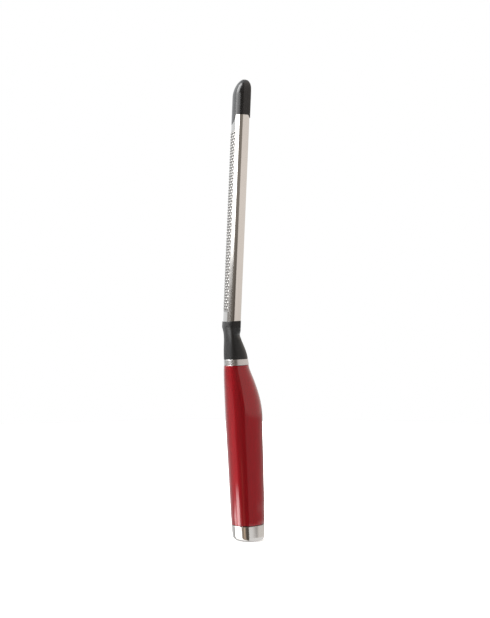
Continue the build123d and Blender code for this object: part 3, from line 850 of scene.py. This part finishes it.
# %% [markdown]
# ## Round things: ring, handle and cap
#
# The ring, the handle's shell and the butt cap are all the same kind of surface: an oval that changes
# slowly along the handle, with a wall profile run round it. The oval's middle, depth and width are measured
# on the CAD part, every few millimetres, and a smooth polynomial is fitted to each. A lacquered
# handle shows the slightest ripple, and a single polynomial has none.
#
# The wall's profile is a closed line of heights and insets. A height says which oval, an inset how
# far inside it.

# %% Helpers that measure an oval
def crossings(node, height):
    """Where a CAD part's edges cross a height of the handle's frame: (n, 2) points in millimetres."""
    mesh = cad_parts[node].data
    spots = np.empty(len(mesh.vertices) * 3, np.float32)
    mesh.vertices.foreach_get("co", spots)
    spots = leaned(spots.reshape(-1, 3) / MM, -HANDLE_LEAN)
    pairs = np.empty(len(mesh.edges) * 2, np.int32)
    mesh.edges.foreach_get("vertices", pairs)
    a, b = spots[pairs.reshape(-1, 2)[:, 0]], spots[pairs.reshape(-1, 2)[:, 1]]
    cut = (a[:, 2] - height) * (b[:, 2] - height) < 0
    a, b = a[cut], b[cut]
    share = (height - a[:, 2]) / (b[:, 2] - a[:, 2])
    return (a + share[:, None] * (b - a))[:, :2]


def fitted_oval(node, low, high, count, degree):
    """Polynomials of height for an oval's middle in y, its half depth and its half width."""
    heights = np.linspace(low, high, count)
    spots = [crossings(node, h) for h in heights]
    extents = np.array([[c[:, 1].min(), c[:, 1].max(), c[:, 0].max()] for c in spots])
    values = [(extents[:, 0] + extents[:, 1]) / 2, (extents[:, 1] - extents[:, 0]) / 2, extents[:, 2]]
    fits = [np.polynomial.Chebyshev.fit(heights, v, degree) for v in values]
    error = max(float(np.abs(fit(heights) - v).max()) for fit, v in zip(fits, values))
    print(f"{node}: oval fitted within {error:.3f} mm")
    return fits


def walled(name, oval, profile, spokes=144, level_to=0.0):
    """Run a profile of (height, inset) pairs round an oval: x = w cos a, y = m + d sin a.

    Where level_to is given, the sections turn from the handle's at that height to level ones at 0.
    """
    heights, insets = np.array(profile).T[:, :, None]
    middle, depth, width = (fit(heights) for fit in oval)
    a = np.linspace(0, 2 * np.pi, spokes, endpoint=False)[None, :]
    x = np.maximum(width - insets, 0) * np.cos(a)
    y = middle + np.maximum(depth - insets, 0) * np.sin(a)
    level = np.clip(1 - heights / level_to, 0, 1) if level_to else 0.0
    z = heights - y * math.tan(HANDLE_LEAN) * level
    points = leaned(np.stack([x, y, z], axis=-1), HANDLE_LEAN)
    return surface(name, points, grid_quads(*x.shape, rows_wrap=True, columns_wrap=True), crease=50.0)


WALL_MARGIN = 0.1


def arc(height, inset, radius, start, end, count=6):
    """Points of a round edge, its centre at a height and an inset, from one angle to another."""
    a = np.radians(np.linspace(start, end, count))
    return list(zip(height + radius * np.sin(a), inset - radius * np.cos(a)))


def straight_wall(low, high, count):
    """Points between two round edges. The first and last lie close to the edges, so that the smooth
    shading of an edge doesn't spread over the wall."""
    return [(h, 0.0) for h in np.linspace(low + WALL_MARGIN, high - WALL_MARGIN, count)]


# %% [markdown]
# The handle's shell is ABS, sprayed with a deep red metallic base and lacquered clear. The base's fine
# metal flakes send light back near the mirror direction, tinted red, so the red is bright where
# it nearly mirrors the softbox and almost black where it faces the dark side of the room. The lacquer
# mirrors the room sharply on top of it, at a twenty-fifth of its brightness, which is why the bright
# windows show as white streaks and the pale wall as a dull bloom. In the shader that is a rough, partly
# metallic base under a clear coat.

# %% Make the handle
HANDLE_LOW = 11.48
HANDLE_HIGH = 123.98
HANDLE_WALL = 2.2
HANDLE_EDGE = 0.3

handle_oval = fitted_oval("handle_shell", 11.8, 123.6, 60, 11)
handle_profile = (
    arc(HANDLE_LOW + HANDLE_EDGE, HANDLE_EDGE, HANDLE_EDGE, -90, 0)
    + straight_wall(HANDLE_LOW + HANDLE_EDGE, HANDLE_HIGH - HANDLE_EDGE, 90)
    + arc(HANDLE_HIGH - HANDLE_EDGE, HANDLE_EDGE, HANDLE_EDGE, 0, 90)
    + [(h, HANDLE_WALL) for h in np.linspace(HANDLE_HIGH, HANDLE_LOW, 20)]
)
handle = walled("handle_shell_lacquered", handle_oval, handle_profile)

lacquered, tree = new_material("clear lacquer over deep red metallic base")
place = add(tree, "TexCoord").outputs["Object"]
settle = add(tree, "TexNoise", {"Scale": per_mm(30.0), "Detail": 2.0}, {"Vector": place})
tint = add(
    tree,
    "Mix",
    {"data_type": "RGBA", 6: linear("#850511"), 7: linear("#7d0410")},
    {0: settle.outputs[0]},
)
# The flakes are far too fine to show. They are drawn at half a millimetre, as a slight liveliness in
# how wide the base's sheen is.
grain = add(tree, "TexNoise", {"Scale": per_mm(0.5), "Detail": 2.0}, {"Vector": place})
sheen = add(tree, "MapRange", {"To Min": 0.39, "To Max": 0.45}, {"Value": grain.outputs[0]})
# Lacquer never dries quite flat: a ripple a few millimetres long and a few microns high is left.
ripple = add(tree, "TexNoise", {"Scale": per_mm(4.0), "Detail": 1.0}, {"Vector": place})
peel = add(tree, "Bump", {"Strength": 0.1, "Distance": 0.01 * MM}, {"Height": ripple.outputs[0]})
lacquer = add(
    tree,
    "BsdfPrincipled",
    {
        "Metallic": 0.6,
        "Specular IOR Level": 0.05,
        "Coat Weight": 1.0,
        "Coat Roughness": 0.03,
        "Coat IOR": 1.5,
    },
    {
        "Base Color": tint.outputs[2],
        "Roughness": sheen.outputs["Result"],
        "Coat Normal": peel.outputs[0],
    },
)
add(tree, "OutputMaterial", {}, {"Surface": lacquer.outputs[0]})
finish(handle, "handle_shell", lacquered)

# %% [markdown]
# The ring is a slice of stainless tube, squeezed oval and brushed round and round on a belt. The cap
# is deep-drawn from sheet and polished like a spoon, so it mirrors the room with hardly any blur.

# %% Make the ring and the cap
RING_LOW = 124.12
RING_HIGH = 128.38
RING_WALL = 2.1
RING_EDGE = 0.3
CAP_HIGH = 11.12
CAP_WALL = 0.9
CAP_FLOOR = 1.1
CAP_RIM = 3.0
CAP_LIP = 0.3

ring_oval = fitted_oval("ferrule_ring", RING_LOW + 0.5, RING_HIGH - 0.5, 12, 1)
ring_profile = (
    arc(RING_LOW + RING_EDGE, RING_EDGE, RING_EDGE, -90, 0)
    + straight_wall(RING_LOW + RING_EDGE, RING_HIGH - RING_EDGE, 6)
    + arc(RING_HIGH - RING_EDGE, RING_EDGE, RING_EDGE, 0, 90)
    + [(RING_HIGH, RING_WALL), (RING_LOW, RING_WALL)]
)
ring = walled("ferrule_band", ring_oval, ring_profile)
ring_steel = steel(
    "belt-brushed stainless tube", "#cbc9c8", 0.28, 0.3, 40.0, 0.001, along=(1, 1, 0), uneven=0.04
)
finish(ring, "ferrule_ring", ring_steel)

cap_oval = fitted_oval("butt_cap", 3.4, CAP_HIGH - 0.6, 12, 1)
across_floor = [(0.0, inset) for inset in (14.0, 11.0, 8.0, 5.0, 3.0)]
cap_profile = (
    across_floor
    + arc(CAP_RIM, CAP_RIM, CAP_RIM, -90, 0, 14)
    + straight_wall(CAP_RIM, CAP_HIGH - CAP_LIP, 8)
    + arc(CAP_HIGH - CAP_LIP, CAP_LIP, CAP_LIP, 0, 90)
    + [(CAP_HIGH, CAP_WALL), (CAP_RIM, CAP_WALL), (CAP_FLOOR, CAP_RIM), (CAP_FLOOR, 14.0)]
)
cap = walled("butt_cap_polished", cap_oval, cap_profile, level_to=CAP_HIGH)
cap_steel = steel("drawn and polished stainless cup", "#d2cfcc", 0.1, 0.6, 6.0, 0.003)
finish(cap, "butt_cap", cap_steel)

# %% [markdown]
# ## The parts inside
#
# The tang, its pin, the handle's core, the plug and the screw are sealed in, and the tip's insert shows
# only from behind. Their CAD shapes are right as they are, so they stay, and take the finish
# that each would have if the tool were taken apart.

# %% Finish the parts that stay
inner_finishes = {
    "tip_insert": moulded("moulded polypropylene, black", "#1b1b1c", 0.5, 0.6, 0.02),
    "tang_bar": steel("mill-finish stainless bar", "#b9b7b3", 0.4, 0.25, 20.0, 0.02),
    "tang_pin": steel("centreless-ground steel pin", "#c2c0bd", 0.22, 0.2, 3.0, 0.01, along=(0, 1, 0)),
    "handle_core": moulded("moulded polypropylene, red", "#8d2327", 0.5, 0.8, 0.03),
    "end_plug": moulded("moulded polypropylene, charcoal", "#29292a", 0.5, 0.8, 0.03),
    "cap_screw": steel("zinc-plated screw steel", "#b4b6b8", 0.3, 0.2, 2.0, 0.01, along=(1, 1, 0)),
}
for node, material in inner_finishes.items():
    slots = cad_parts[node].material_slots
    for slot in slots:
        slot.material = material
    if not slots:
        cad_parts[node].data.materials.append(material)
print("parts that keep their CAD shape:", ", ".join(inner_finishes))
